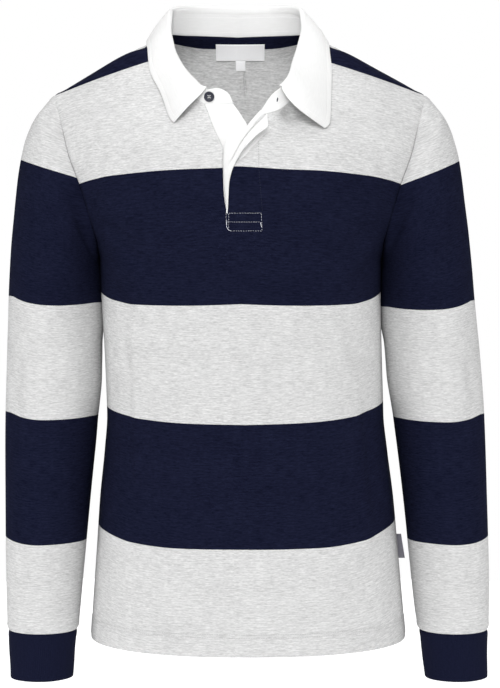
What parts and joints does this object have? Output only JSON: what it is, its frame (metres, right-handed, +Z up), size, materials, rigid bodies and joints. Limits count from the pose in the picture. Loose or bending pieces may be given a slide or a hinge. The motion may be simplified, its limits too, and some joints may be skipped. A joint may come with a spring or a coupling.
{
  "type": "rugby shirt",
  "caption": "Long-sleeved jersey rugby shirt in broad stripes, with a white twill collar and a short open placket, filled out as worn.",
  "frame": {"origin": "midway between the two shoulder neck points, where the wearer's shoulders hold the shirt up", "axes": "+Z up from the hem to the collar, -Y out of the shirt's front, +X towards the wearer's left sleeve"},
  "size_m": [0.5545, 0.248, 0.772],
  "materials": {
    "striped_jersey": "cotton jersey in melange light grey and navy bands, matt",
    "navy_cuff": "firm navy knit, matt",
    "white_twill": "white cotton twill, matt",
    "woven_label": "plain woven satin tape, slight sheen",
    "side_tab_tape": "plain woven tape, matt",
    "navy_button": "moulded, slightly glossy"
  },
  "bodies": {
    "root": {"front_panel": "striped_jersey", "back_panel": "striped_jersey", "sleeve_right": "striped_jersey", "sleeve_left": "striped_jersey", "cuff_right": "navy_cuff", "cuff_left": "navy_cuff", "collar_stand": "white_twill", "collar_fall": "white_twill", "placket_facing": "white_twill", "placket_under": "white_twill", "button": "navy_button", "neck_label": "woven_label", "size_tab": "woven_label", "side_tab": "side_tab_tape"}
  },
  "joints": []
}
